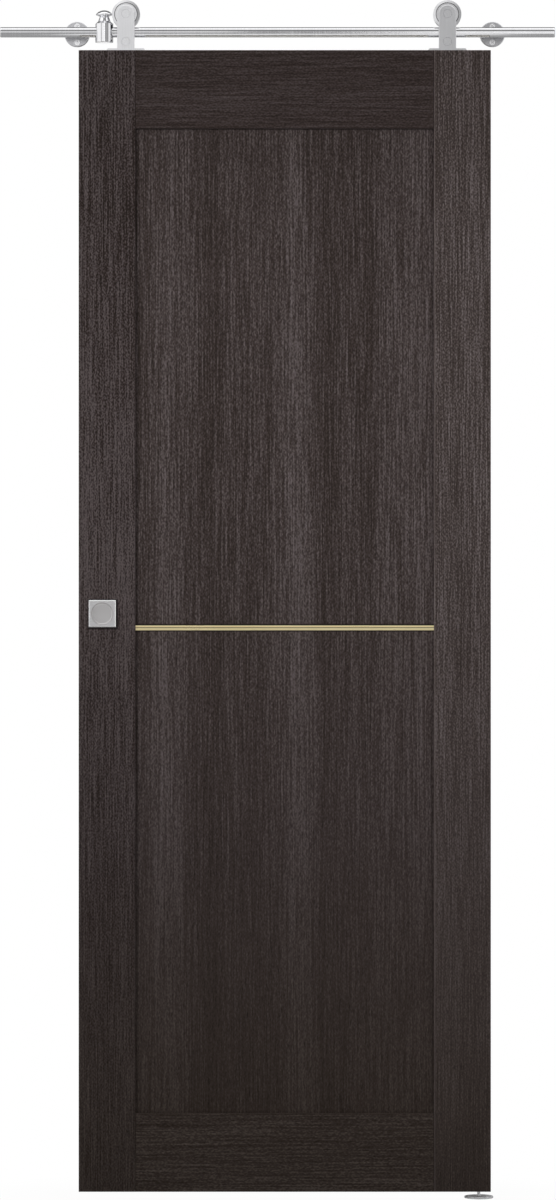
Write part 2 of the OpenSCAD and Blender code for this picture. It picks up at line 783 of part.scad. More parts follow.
rail();
left_end_cap();
right_end_cap();
wall_flange(bracket_x[0]);  // left_wall_flange
wall_flange(bracket_x[1]);  // right_wall_flange
post(bracket_x[0]);  // left_post
post(bracket_x[1]);  // right_post
bracket_studs();
barrel_nuts();
stop_body();
stop_knob();
stop_grub_screw();
guide_base();
guide_pin();
left_stile();
right_stile();
top_crossrail();
bottom_crossrail();
corner_dowels();
upper_panel();
lower_panel();
gold_strip();
front_pull();
rear_pull();
hanger(hanger_x[0]);  // left_hanger
hanger(hanger_x[1]);  // right_hanger
hanger_screws();
axle(hanger_x[0]);  // left_axle
axle(hanger_x[1]);  // right_axle
spacer(hanger_x[0]);  // left_spacer
spacer(hanger_x[1]);  // right_spacer
axle_screw(hanger_x[0]);  // left_axle_screw
axle_screw(hanger_x[1]);  // right_axle_screw
anti_jump_pin(hanger_x[0]);  // left_anti_jump_pin
anti_jump_pin(hanger_x[1]);  // right_anti_jump_pin
inner_race(hanger_x[0]);  // left_inner_race
inner_race(hanger_x[1]);  // right_inner_race
balls(hanger_x[0]);  // left_balls
balls(hanger_x[1]);  // right_balls
wheel(hanger_x[0]);  // left_wheel
wheel(hanger_x[1]);  // right_wheel
outer_race(hanger_x[0]);  // left_outer_race
outer_race(hanger_x[1]);  // right_outer_race
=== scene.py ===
import math

import bpy
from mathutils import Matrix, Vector


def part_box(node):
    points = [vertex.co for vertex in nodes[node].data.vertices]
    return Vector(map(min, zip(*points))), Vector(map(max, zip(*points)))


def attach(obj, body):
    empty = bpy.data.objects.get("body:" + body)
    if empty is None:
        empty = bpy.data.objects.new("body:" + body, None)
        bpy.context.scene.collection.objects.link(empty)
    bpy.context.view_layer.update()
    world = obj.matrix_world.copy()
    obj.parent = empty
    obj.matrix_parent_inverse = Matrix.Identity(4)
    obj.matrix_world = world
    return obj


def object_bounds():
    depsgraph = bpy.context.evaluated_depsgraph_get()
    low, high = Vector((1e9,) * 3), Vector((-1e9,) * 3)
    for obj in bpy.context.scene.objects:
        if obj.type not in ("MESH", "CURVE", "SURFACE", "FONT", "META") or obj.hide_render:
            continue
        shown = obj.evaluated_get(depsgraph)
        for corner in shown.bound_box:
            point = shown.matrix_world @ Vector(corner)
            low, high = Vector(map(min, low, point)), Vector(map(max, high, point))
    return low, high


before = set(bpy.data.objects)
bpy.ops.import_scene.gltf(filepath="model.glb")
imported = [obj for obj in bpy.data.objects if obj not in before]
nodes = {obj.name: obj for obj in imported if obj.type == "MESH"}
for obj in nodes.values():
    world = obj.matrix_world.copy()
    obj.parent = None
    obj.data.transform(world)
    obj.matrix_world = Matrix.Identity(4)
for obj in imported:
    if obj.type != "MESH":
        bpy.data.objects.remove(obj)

cad_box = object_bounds()


# Rail: a round tube of polished stainless steel with a turned cap pressed into each end.
# The tube is polished on a belt that runs round it, which leaves faint lines across its length.

def srgb(red, green, blue):
    """A colour given as it is read off a screen, 0 to 255, as the shader's linear colour."""
    def linear(value):
        value /= 255
        return value / 12.92 if value <= 0.04045 else ((value + 0.055) / 1.055) ** 2.4
    return (linear(red), linear(green), linear(blue), 1.0)


def new_finish(name, sockets):
    """A material with one shader, whose constant sockets are set here."""
    material = bpy.data.materials.new(name)
    material.use_nodes = True
    tree = material.node_tree
    shader = tree.nodes["Principled BSDF"]
    for socket, value in sockets.items():
        shader.inputs[socket].default_value = value
    return material, tree, shader


def add(tree, kind, inputs=None, **settings):
    """A node of a material, with its settings, and its inputs set or linked."""
    node = tree.nodes.new("ShaderNode" + kind)
    for key, value in settings.items():
        setattr(node, key, value)
    for key, value in (inputs or {}).items():
        if isinstance(value, bpy.types.NodeSocket):
            tree.links.new(value, node.inputs[key])
        else:
            node.inputs[key].default_value = value
    return node


def streaks(tree, per_metre, detail=2.0, shift=(0.0, 0.0, 0.0)):
    """Noise on the piece's own place, with so many features to a metre along X, Y and Z."""
    place = tree.nodes.get("place") or add(tree, "TexCoord", name="place")
    stretch = add(tree, "Mapping", {
        "Vector": place.outputs["Object"], "Location": shift, "Scale": per_metre})
    noise = add(tree, "TexNoise", {
        "Vector": stretch.outputs["Vector"], "Scale": 1.0, "Detail": detail, "Roughness": 0.5})
    return noise.outputs["Fac"]


def remap(tree, value, low, high, to_low, to_high):
    """A value that runs from low to high, made to run from to_low to to_high and held there."""
    node = add(tree, "MapRange", {
        "Value": value, "From Min": low, "From Max": high, "To Min": to_low, "To Max": to_high})
    return node.outputs["Result"]


def ramp(tree, value, stops):
    """A colour that follows a value through the stops, each a place and a colour."""
    node = add(tree, "ValToRGB", {"Fac": value})
    band = node.color_ramp
    while len(band.elements) < len(stops):
        band.elements.new(0.5)
    for element, (place, colour) in zip(band.elements, stops):
        element.position = place
        element.color = colour
    return node.outputs["Color"]


def bump(tree, shader, height, depth, strength=1.0):
    """Relief of so many metres between a height of 0 and 1."""
    node = add(tree, "Bump", {"Height": height, "Distance": depth, "Strength": strength})
    tree.links.new(node.outputs["Normal"], shader.inputs["Normal"])


def metal(name, dull, bright, rough_low, rough_high, per_metre, relief):
    """Metal whose finishing lines, so many to a metre on each axis, vary its colour, gloss and relief."""
    material, tree, shader = new_finish(name, {"Metallic": 1.0})
    lines = streaks(tree, per_metre, detail=3.0)
    cloud_per_metre, cloud_shift = (16.0, 16.0, 16.0), (3.1, 1.7, 0.4)
    cloud = streaks(tree, cloud_per_metre, shift=cloud_shift)
    colour = ramp(tree, lines, [(0.3, dull), (0.7, bright)])
    tree.links.new(colour, shader.inputs["Base Color"])
    gloss = add(tree, "Math", {0: lines, 1: cloud}, operation="ADD")
    rough = remap(tree, gloss.outputs[0], 0.7, 1.3, rough_low, rough_high)
    tree.links.new(rough, shader.inputs["Roughness"])
    bump(tree, shader, lines, relief)
    return material


def dress(material, *names):
    """Gives CAD nodes their finish."""
    for name in names:
        nodes[name].material_slots[0].material = material


polished_tube = metal("polished_steel_tube", srgb(198, 198, 200), srgb(212, 212, 214),
                      0.07, 0.12, (1500.0, 12.0, 12.0), 0.000002)
polished_caps = metal("polished_steel_caps", srgb(214, 214, 216), srgb(228, 228, 230),
                      0.06, 0.14, (300.0, 900.0, 900.0), 0.000002)
dress(polished_tube, "rail")
dress(polished_caps, "left_end_cap", "right_end_cap")


# Wall brackets: a turned round flange screwed to the wall, and a post with a saddle that seats the rail.
# A stud runs from each flange through its post into a barrel nut inside the tube.

flange_steel = metal("turned_flange_steel", srgb(194, 194, 197), srgb(208, 208, 211),
                     0.3, 0.38, (500.0, 300.0, 500.0), 0.000002)
post_steel = metal("turned_post_steel", srgb(196, 196, 199), srgb(216, 216, 219),
                   0.2, 0.32, (60.0, 1400.0, 60.0), 0.000006)
zinc_plate = metal("zinc_plate", srgb(176, 177, 180), srgb(206, 206, 208),
                   0.28, 0.42, (420.0, 420.0, 420.0), 0.000006)
dress(flange_steel, "left_wall_flange", "right_wall_flange")
dress(post_steel, "left_post", "right_post")
dress(zinc_plate, "bracket_studs", "barrel_nuts")


# Wall screws: countersunk screws with a cross recess, two in each flange, driven flush into their sinks.
# They are turned and zinc plated steel, and end at the wall plane here.

def screw_tree():
    """Geometry nodes that set a countersunk cross-head screw on each point."""
    tree = bpy.data.node_groups.new("countersunk_screws", "GeometryNodeTree")
    face = tree.interface
    face.new_socket("Geometry", in_out="INPUT", socket_type="NodeSocketGeometry")
    sizes = ("Head Radius", "Shank Radius", "Shank Length", "Cross Length", "Cross Width")
    for name in sizes:
        face.new_socket(name, in_out="INPUT", socket_type="NodeSocketFloat")
    face.new_socket("Facing", in_out="INPUT", socket_type="NodeSocketVector")
    face.new_socket("Seed", in_out="INPUT", socket_type="NodeSocketInt")
    face.new_socket("Finish", in_out="INPUT", socket_type="NodeSocketMaterial")
    face.new_socket("Geometry", in_out="OUTPUT", socket_type="NodeSocketGeometry")

    def node(kind, inputs, **settings):
        made = tree.nodes.new(kind)
        for key, value in settings.items():
            setattr(made, key, value)
        for key, value in inputs.items():
            for one in value if isinstance(value, list) else [value]:
                if isinstance(one, bpy.types.NodeSocket):
                    tree.links.new(one, made.inputs[key])
                else:
                    made.inputs[key].default_value = one
        return made

    def math_of(kind, first, second):
        return node("ShaderNodeMath", {0: first, 1: second}, operation=kind).outputs[0]

    def vector_of(x, y, z):
        return node("ShaderNodeCombineXYZ", {0: x, 1: y, 2: z}).outputs[0]

    def lowered(mesh, drop):
        down = vector_of(0.0, 0.0, math_of("MULTIPLY", drop, -1.0))
        return node("GeometryNodeTransform", {"Geometry": mesh, "Translation": down}).outputs["Geometry"]

    screw_sides = 40
    cross_lift = 0.00004
    given = tree.nodes.new("NodeGroupInput").outputs
    head_r, shank_r = given["Head Radius"], given["Shank Radius"]
    head_depth = math_of("SUBTRACT", head_r, shank_r)
    head = node("GeometryNodeMeshCone", {
        "Vertices": screw_sides, "Radius Top": head_r, "Radius Bottom": shank_r, "Depth": head_depth})
    shank = node("GeometryNodeMeshCylinder", {
        "Vertices": screw_sides, "Radius": shank_r, "Depth": given["Shank Length"]})
    shank_drop = math_of("ADD", head_depth, math_of("MULTIPLY", given["Shank Length"], 0.5))
    arm_side = math_of("MULTIPLY", given["Cross Width"], math.sqrt(0.5))
    arms = []
    for size, turn in (((given["Cross Length"], arm_side, arm_side), (math.pi / 4, 0.0, 0.0)),
                       ((arm_side, given["Cross Length"], arm_side), (0.0, math.pi / 4, 0.0))):
        arm = node("GeometryNodeMeshCube", {"Size": vector_of(*size)})
        arms.append(node("GeometryNodeTransform", {
            "Geometry": arm.outputs["Mesh"], "Translation": (0.0, 0.0, cross_lift), "Rotation": turn}))
    cut_head = node("GeometryNodeMeshBoolean", {
        "Mesh 1": lowered(head.outputs["Mesh"], head_depth),
        "Mesh 2": [arm.outputs["Geometry"] for arm in arms]}, operation="DIFFERENCE")
    screw = node("GeometryNodeJoinGeometry", {
        "Geometry": [cut_head.outputs["Mesh"], lowered(shank.outputs["Mesh"], shank_drop)]})
    spin = node("FunctionNodeRandomValue", {2: 0.0, 3: math.tau, "Seed": given["Seed"]}, data_type="FLOAT")
    turned = node("FunctionNodeRotateRotation", {
        0: node("FunctionNodeEulerToRotation", {0: given["Facing"]}).outputs[0],
        1: node("FunctionNodeEulerToRotation", {0: vector_of(0.0, 0.0, spin.outputs[1])}).outputs[0]},
        rotation_space="LOCAL")
    placed = node("GeometryNodeInstanceOnPoints", {
        "Points": given["Geometry"], "Instance": screw.outputs["Geometry"], "Rotation": turned.outputs[0]})
    real = node("GeometryNodeRealizeInstances", {"Geometry": placed.outputs["Instances"]})
    finished = node("GeometryNodeSetMaterial", {
        "Geometry": real.outputs["Geometry"], "Material": given["Finish"]})
    tree.links.new(finished.outputs["Geometry"], tree.nodes.new("NodeGroupOutput").inputs[0])
    return tree


def set_screws(name, tree, points, sizes):
    """Runs the screw tree on the points and keeps the result as one plain mesh."""
    mesh = bpy.data.meshes.new(name + "_points")
    mesh.from_pydata(points, [], [])
    holder = bpy.data.objects.new(name + "_points", mesh)
    bpy.context.scene.collection.objects.link(holder)
    modifier = holder.modifiers.new("screws", "NODES")
    modifier.node_group = tree
    for item in tree.interface.items_tree:
        if item.in_out == "INPUT" and item.name in sizes:
            modifier[item.identifier] = sizes[item.name]
    graph = bpy.context.evaluated_depsgraph_get()
    made = bpy.data.meshes.new_from_object(holder.evaluated_get(graph), depsgraph=graph)
    made.name = name
    holder.modifiers.remove(modifier)
    bpy.data.objects.remove(holder)
    piece = bpy.data.objects.new(name, made)
    bpy.context.scene.collection.objects.link(piece)
    return piece


screws_tree = screw_tree()
screw_zinc = metal("zinc_screw_heads", srgb(226, 226, 228), srgb(244, 244, 245),
                   0.16, 0.26, (900.0, 900.0, 900.0), 0.000004)
wall_screw_sizes = {
    "Head Radius": 0.00505, "Shank Radius": 0.0025, "Shank Length": 0.0032,
    "Cross Length": 0.0062, "Cross Width": 0.0021,
    "Facing": (math.pi / 2, 0.0, 0.0), "Seed": 4, "Finish": screw_zinc}
wall_screw_rise = 0.015
screw_sink = 0.0001
wall_screw_points = []
for flange in ("left_wall_flange", "right_wall_flange"):
    low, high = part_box(flange)
    middle = (low + high) / 2
    for side in (-1, 1):
        wall_screw_points.append((middle.x, low.y + screw_sink, middle.z + side * wall_screw_rise))
wall_screws = set_screws("wall_screws", screws_tree, wall_screw_points, wall_screw_sizes)
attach(wall_screws, "frame")


# Stop: a turned and polished steel body clamped on the rail, with a domed bumper knob screwed into it.
# A set screw from behind holds the body where it is.

stop_steel = metal("polished_stop_steel", srgb(236, 236, 238), srgb(246, 246, 248),
                   0.06, 0.1, (14.0, 14.0, 1500.0), 0.000001)
dress(stop_steel, "stop_body", "stop_knob")
dress(zinc_plate, "stop_grub_screw")


# Floor guide: a turned round steel base with an upright pin, which runs in the groove under the door.
# Two countersunk screws hold the base on the floor, so that the door's foot can't swing out.

guide_steel = metal("turned_guide_steel", srgb(204, 204, 206), srgb(220, 220, 222),
                    0.68, 0.76, (700.0, 700.0, 900.0), 0.000005)
guide_pin_steel = metal("turned_guide_pin_steel", srgb(232, 232, 234), srgb(244, 244, 246),
                        0.5, 0.6, (400.0, 400.0, 900.0), 0.000005)
dress(guide_steel, "guide_base")
dress(guide_pin_steel, "guide_pin")
floor_screw_sizes = {
    "Head Radius": 0.00405, "Shank Radius": 0.002, "Shank Length": 0.0008,
    "Cross Length": 0.005, "Cross Width": 0.0016,
    "Facing": (0.0, 0.0, 0.0), "Seed": 9, "Finish": zinc_plate}
floor_screw_reach = 0.017
low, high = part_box("guide_base")
middle = (low + high) / 2
floor_screw_points = [
    (middle.x + side * floor_screw_reach, middle.y, high.z - screw_sink) for side in (-1, 1)]
floor_screws = set_screws("floor_screws", screws_tree, floor_screw_points, floor_screw_sizes)
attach(floor_screws, "frame")


# Stiles: the two uprights of the door's frame, solid core faced with dark stained oak and matt lacquer.
# Each is grooved for the panels and planed to a fine chamfer along its edges; the grain runs upright.
# The door's top and bottom edges, where it may be trimmed, have no veneer and show the pale primed core.

door_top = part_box("left_stile")[1].z
door_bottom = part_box("left_stile")[0].z


def oak(name, along, tone, shift, contrast=1.0, warmth=1.0, bands=()):
    """Dark stained oak with its grain along X or Z. A tone above 1 is lighter than the usual board.
    The grain is calmer, and by the warmth browner, towards the door's foot.
    Each band of lighter or darker wood has an axis, a place along it, a half width and a strength."""
    material, tree, shader = new_finish(name, {"Specular IOR Level": 0.1})

    def grain(across, length, detail, part, aside=0.0):
        """Noise with so many features to a metre across the grain and along it, moved aside in metres."""
        start = Vector((shift + part, shift * 0.7, shift * 1.3 + part))
        step = aside * across
        if along == "X":
            return streaks(tree, (length, across, across), detail, start + Vector((0.0, 0.0, step)))
        return streaks(tree, (across, across, length), detail, start + Vector((step, 0.0, 0.0)))

    def stained(red, green, blue):
        """The stain's colour in this board's tone, which changes its lightness and keeps its hue."""
        lighter = (tone - 1.0) * (red + green + blue) / 3
        return srgb(red + lighter, green + lighter, blue + lighter)

    def add_up(layer, centre, share, total):
        """A total with a share of a layer added, counted from the layer's centre."""
        centred = add(tree, "Math", {0: layer, 1: centre}, operation="SUBTRACT").outputs[0]
        return add(tree, "Math", {0: centred, 1: share, 2: total}, operation="MULTIPLY_ADD").outputs[0]

    fine, fibre_length, fleck_length = 450.0, 9.0, 250.0
    far_side = 0.0033
    columns = grain(15.0, 0.5, 2.0, 0.0)
    fibres = grain(fine, fibre_length, 0.0, 1.4)
    flecks = grain(fine, fleck_length, 0.0, 8.3)
    fibre_sides = grain(fine, fibre_length, 0.0, 1.4, far_side)
    fleck_sides = grain(fine, fleck_length, 0.0, 8.3, far_side)
    pores = remap(tree, grain(1600.0, 70.0, 1.0, 2.9), 0.6, 0.7, 0.0, 1.0)
    shares = ((columns, 0.45), (fibres, 0.87), (fibre_sides, -0.13), (flecks, 1.0), (fleck_sides, -0.15))
    middle_level = 0.5
    total = 0.0
    for layer, share in shares:
        total = add_up(layer, middle_level, share, total)

    axes = add(tree, "SeparateXYZ", {0: tree.nodes["place"].outputs["Object"]}, name="axes").outputs
    wander, sway = grain(22.0, 1.1, 2.0, 6.6), 0.05
    for axis, centre, half_width, strength in bands:
        away = add_up(wander, middle_level, sway, axes[axis])
        away = add(tree, "Math", {0: away, 1: centre}, operation="SUBTRACT")
        away = add(tree, "Math", {0: away.outputs[0]}, operation="ABSOLUTE")
        total = add_up(remap(tree, away.outputs[0], 0.0, half_width, 1.0, 0.0), 0.0, strength, total)
    calm_end, lively_start = door_bottom + 0.4, door_bottom + 1.2
    lively = remap(tree, axes["Z"], calm_end, lively_start, 0.47 * contrast, 1.05 * contrast)
    total = add(tree, "Math", {0: total, 1: lively, 2: middle_level}, operation="MULTIPLY_ADD").outputs[0]

    stain = ramp(tree, total, [
        (0.25, stained(46, 38, 34)), (0.5, stained(65.6, 56, 54)), (1.0, stained(111.5, 102.5, 102.5))])
    dark_pores = add(tree, "Mix", {0: pores, 6: stain, 7: stained(35, 28, 25)}, data_type="RGBA")
    foot = remap(tree, axes["Z"], door_bottom + 0.1, door_bottom + 0.65, warmth, 0.0)
    foot_brown = (0.95, 0.93, 0.82, 1.0)
    browner = add(tree, "Mix", {0: foot, 6: dark_pores.outputs[2], 7: foot_brown},
                  data_type="RGBA", blend_type="MULTIPLY")
    core = ramp(tree, fibres, [(0.3, srgb(226, 222, 214)), (0.7, srgb(238, 235, 228))])
    veneer_end, core_start = 0.0002, 0.0001
    bare = add(tree, "Math", {
        0: remap(tree, axes["Z"], door_top - veneer_end, door_top - core_start, 0.0, 1.0),
        1: remap(tree, axes["Z"], door_bottom + core_start, door_bottom + veneer_end, 1.0, 0.0)},
        operation="MAXIMUM")
    faced = add(tree, "Mix", {0: bare.outputs[0], 6: browner.outputs[2], 7: core}, data_type="RGBA")
    tree.links.new(faced.outputs[2], shader.inputs["Base Color"])
    tree.links.new(remap(tree, total, 0.3, 0.7, 0.58, 0.44), shader.inputs["Roughness"])
    pore_depth, relief = -0.6, 0.0004
    bump(tree, shader, add_up(pores, 0.0, pore_depth, total), relief, 0.7)
    return material


def off(tree, axis, centre):
    """How far a place on the piece is from a plane across an axis."""
    axes = tree.nodes.get("axes") or add(
        tree, "SeparateXYZ", {0: tree.nodes["place"].outputs["Object"]}, name="axes")
    less = add(tree, "Math", {0: axes.outputs[axis], 1: centre}, operation="SUBTRACT")
    return add(tree, "Math", {0: less.outputs[0]}, operation="ABSOLUTE").outputs[0]


def line_at(tree, axis, centre, near, far, strength):
    """A mask of so much strength within near of a plane across an axis, which is gone at far."""
    return remap(tree, off(tree, axis, centre), near, far, strength, 0.0)


def part_finish(material, mask, colour, rough):
    """Changes a finish to another colour and roughness where the mask is 1."""
    tree = material.node_tree
    shader = tree.nodes["Principled BSDF"]
    for socket, kind, first, out, value in (
            ("Base Color", "RGBA", 6, 2, colour), ("Roughness", "FLOAT", 2, 0, rough)):
        before = shader.inputs[socket].links[0].from_socket
        mixed = add(tree, "Mix", {0: mask, first: before, first + 1: value}, data_type=kind)
        tree.links.new(mixed.outputs[out], shader.inputs[socket])


left_bands = (("Z", -0.03, 0.3, 0.1), ("Z", -1.0, 0.65, 0.17),
              ("Z", -1.95, 0.7, 0.26), ("Z", -2.15, 0.3, 0.13))
left_oak = oak("oak_left_stile", "Z", 0.83, 3.7, contrast=1.4, bands=left_bands)
low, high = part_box("front_pull")
pull_middle, pull_half = (low + high) / 2, (high.x - low.x) / 2
tree = left_oak.node_tree
shade_shift = 0.0012
from_pull = add(tree, "Math", {
    0: off(tree, "X", pull_middle.x + shade_shift), 1: off(tree, "Z", pull_middle.z - shade_shift)},
    operation="MAXIMUM").outputs[0]
pull_shade = remap(tree, from_pull, pull_half + 0.002, pull_half + 0.004, 0.85, 0.0)
part_finish(left_oak, pull_shade, srgb(20, 17, 16), 0.6)
dress(left_oak, "left_stile")
right_bands = (("Z", -0.03, 0.3, -0.07), ("Z", -1.25, 0.6, 0.04), ("Z", -2.15, 0.3, -0.2))
right_oak = oak("oak_right_stile", "Z", 1.22, 11.3, contrast=0.8, warmth=0.6, bands=right_bands)
# Painted highlight: a soft lighter line along the right stile's inner edge, where its chamfer would catch
# the light.
inner_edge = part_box("right_stile")[0].x
painted_edge_highlight = line_at(right_oak.node_tree, "X", inner_edge, 0.0015, 0.003, 0.4)
part_finish(right_oak, painted_edge_highlight, srgb(128, 116, 114), 0.45)
dress(right_oak, "right_stile")


# Crossrails: the top and bottom members, of the same oak, with stub tenons in the stiles' grooves.
# Their grain runs across the door, and the top one took the stain a little darker.

dress(oak("oak_top_crossrail", "X", 0.89, 17.9, contrast=0.52), "top_crossrail")
dress(oak("oak_bottom_crossrail", "X", 1.09, 23.1, contrast=1.05), "bottom_crossrail")


# Corner dowels: pegs turned from plain beech, two in each corner of the frame.
# They are glued across the joint between the stiles and the crossrails, out of sight.

beech, tree, shader = new_finish("turned_beech", {"Specular IOR Level": 0.3})
flecks = streaks(tree, (60.0, 900.0, 900.0), 3.0)
tree.links.new(ramp(tree, flecks, [(0.3, srgb(196, 152, 104)), (0.7, srgb(222, 186, 140))]),
               shader.inputs["Base Color"])
tree.links.new(remap(tree, flecks, 0.3, 0.7, 0.66, 0.52), shader.inputs["Roughness"])
bump(tree, shader, flecks, 0.0001, 0.5)
dress(beech, "corner_dowels")


# Panels: two boards faced with the same oak, held loose in the grooves of the frame.
# They are cut from one sheet, so that the grain runs on past the strip.

panel_bands = (("X", -0.216, 0.04, 0.22), ("X", -0.145, 0.035, -0.1), ("X", 0.028, 0.035, 0.18),
               ("X", 0.075, 0.03, -0.1), ("X", 0.24, 0.07, 0.12), ("Z", -1.25, 0.6, 0.06))
panel_oak = oak("oak_panels", "Z", 1.05, 29.4, contrast=0.65, bands=panel_bands)
low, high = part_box("gold_strip")
strip_middle, strip_half = (low.z + high.z) / 2, (high.z - low.z) / 2
tree = panel_oak.node_tree
panel_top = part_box("top_crossrail")[0].z
# Painted shade: the panels are painted dark in thin lines under the top crossrail and beside the strip,
# where those parts shade them.
painted_shade_colour = srgb(22, 18, 17)
painted_top_shade = line_at(tree, "Z", panel_top, 0.0015, 0.0035, 0.6)
part_finish(panel_oak, painted_top_shade, painted_shade_colour, 0.6)
painted_strip_shade = line_at(tree, "Z", strip_middle, strip_half + 0.0012, strip_half + 0.003, 0.8)
part_finish(panel_oak, painted_strip_shade, painted_shade_colour, 0.6)
dress(panel_oak, "upper_panel", "lower_panel")


# Strip: an extruded H section of aluminium, brushed along its length and anodised gold.
# Its web parts the two panels, and its face has a fine groove along the middle.

gold = metal("gold_anodised_aluminium", srgb(242, 222, 168), srgb(254, 242, 196),
             0.26, 0.4, (9.0, 1500.0, 1500.0), 0.000006)
tree = gold.node_tree
# Painted shade: the groove is painted dark, and so is a thin line along the face's top edge, where shade
# falls.
painted_groove_shade = line_at(tree, "Z", strip_middle, 0.0005, 0.0006, 1.0)
part_finish(gold, painted_groove_shade, srgb(104, 90, 58), 0.6)
painted_top_edge_shade = line_at(tree, "Z", strip_middle + strip_half, 0.0006, 0.0009, 1.0)
part_finish(gold, painted_top_edge_shade, srgb(60, 50, 32), 0.6)
dress(gold, "gold_strip")


# Flush pulls: square pulls of satin nickel plated zinc let into the left stile, one on each face.
# A raised rim surrounds a round dish for the fingertips. The rim is glossier and painted lighter, as a
# painted highlight on its bevel; the dish is rougher and painted a little darker, as painted shade in its
# hollow.

nickel = metal("satin_nickel", srgb(216, 215, 216), srgb(228, 227, 228),
               0.3, 0.42, (60.0, 900.0, 900.0), 0.000005)
tree = nickel.node_tree
across, upright = off(tree, "X", pull_middle.x), off(tree, "Z", pull_middle.z)
from_middle = add(tree, "Math", {0: across, 1: upright}, operation="MAXIMUM").outputs[0]
# Painted highlight: the rim is painted lighter, and made glossier.
rim = remap(tree, from_middle, pull_half - 0.0021, pull_half - 0.0019, 0.0, 1.0)
part_finish(nickel, rim, srgb(246, 246, 247), 0.14)
squares = add(tree, "Math", {0: across, 1: across}, operation="MULTIPLY").outputs[0]
squares = add(tree, "Math", {0: upright, 1: upright, 2: squares}, operation="MULTIPLY_ADD").outputs[0]
# Painted shade: the dish is painted a little darker, and made rougher.
dish_edge, face_edge = 0.0207, 0.021
dish = remap(tree, squares, dish_edge ** 2, face_edge ** 2, 1.0, 0.0)
part_finish(nickel, dish, srgb(214, 212, 212), 0.5)
dress(nickel, "front_pull", "rear_pull")


# Hangers: flat stainless bars with a round end, ground along their length and welded on a base plate.
# A pin pressed into each bar passes under the rail; wood screws hold the base plates on the door.

pin_steel = {}
# The right hanger's steel is painted darker than the left's, as painted shade; the two real hangers are
# alike.
for side, dull, bright in (("left", srgb(226, 226, 228), srgb(238, 238, 240)),
                           ("right", srgb(214, 214, 216), srgb(226, 226, 228))):
    bar_steel = metal("satin_bar_steel_painted_light_" + side, dull, bright,
                      0.32, 0.42, (1300.0, 60.0, 14.0), 0.000005)
    pin_steel[side] = metal("turned_pin_steel_painted_light_" + side, dull, bright,
                            0.32, 0.42, (500.0, 400.0, 500.0), 0.000005)
    dress(bar_steel, side + "_hanger")
    dress(pin_steel[side], side + "_anti_jump_pin")
dress(screw_zinc, "hanger_screws")


# Axles and bearings: a turned axle pressed flush into each bar, a sleeve, a screw in the axle's end,
# and a ball bearing of hardened ground steel between the axle and the wheel.

bearing_steel = metal("ground_bearing_steel", srgb(206, 208, 212), srgb(224, 226, 230),
                      0.1, 0.18, (200.0, 1600.0, 200.0), 0.000003)
# Each axle takes its own hanger's pin steel, so the right one is painted darker, as painted shade.
dress(pin_steel["left"], "left_axle")
dress(pin_steel["right"], "right_axle")
dress(zinc_plate, "left_spacer", "right_spacer", "left_axle_screw", "right_axle_screw")
dress(bearing_steel, "left_inner_race", "right_inner_race", "left_balls", "right_balls",
      "left_outer_race", "right_outer_race")


# Wheels: turned from stainless steel and grooved for the round rail, with sloping rims and a satin face.
# Each is pressed on the outer race of its bearing.

wheel_crest = 0.0213
for name in ("left_wheel", "right_wheel"):
    wheel_steel = metal("turned_steel_" + name, srgb(230, 230, 232), srgb(242, 242, 244),
                        0.32, 0.42, (500.0, 1500.0, 500.0), 0.000003)
    tree = wheel_steel.node_tree
    low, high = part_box(name)
    middle = (low + high) / 2
    spot = add(tree, "CombineXYZ", {0: off(tree, "X", middle.x), 2: off(tree, "Z", middle.z)})
    radius = add(tree, "VectorMath", {0: spot.outputs[0]}, operation="LENGTH").outputs["Value"]
    rim = remap(tree, radius, wheel_crest + 0.0001, wheel_crest + 0.0004, 0.0, 1.0)
    part_finish(wheel_steel, rim, srgb(230, 230, 232), 0.28)
    # Painted shade: a thin dark ring at the step just inside the rim.
    from_step = add(tree, "Math", {0: radius, 1: wheel_crest - 0.0004}, operation="SUBTRACT")
    from_step = add(tree, "Math", {0: from_step.outputs[0]}, operation="ABSOLUTE")
    painted_step_shade = remap(tree, from_step.outputs[0], 0.0005, 0.0008, 1.0, 0.0)
    part_finish(wheel_steel, painted_step_shade, srgb(124, 123, 125), 0.45)
    dress(wheel_steel, name)


# Floor: a plain pale floor just under the guide, which keeps the door's shadow.
# It glows white for the camera, so that it runs on into the background, and shows in the metal.

floor_gap = 0.0003
floor_z = cad_box[0].z - floor_gap
floor_side, floor_front, floor_back = 2.4, 2.75, 1.6
floor_mesh = bpy.data.meshes.new("floor")
floor_mesh.from_pydata(
    [(-floor_side, -floor_front, floor_z), (floor_side, -floor_front, floor_z),
     (floor_side, floor_back, floor_z), (-floor_side, floor_back, floor_z)], [], [(0, 1, 2, 3)])
floor = bpy.data.objects.new("floor", floor_mesh)
bpy.context.scene.collection.objects.link(floor)
floor_paint = bpy.data.materials.new("pale_floor")
floor_paint.use_nodes = True
tree = floor_paint.node_tree
tree.nodes.clear()


def seen_ray(tree):
    """1 where the camera, a reflection or a see-through surface looks, else 0."""
    path = add(tree, "LightPath")
    seen = add(tree, "Math", {0: path.outputs["Is Camera Ray"], 1: path.outputs["Is Glossy Ray"]},
               operation="MAXIMUM")
    return add(tree, "Math", {0: seen.outputs[0], 1: path.outputs["Is Transmission Ray"]},
               operation="MAXIMUM").outputs[0]


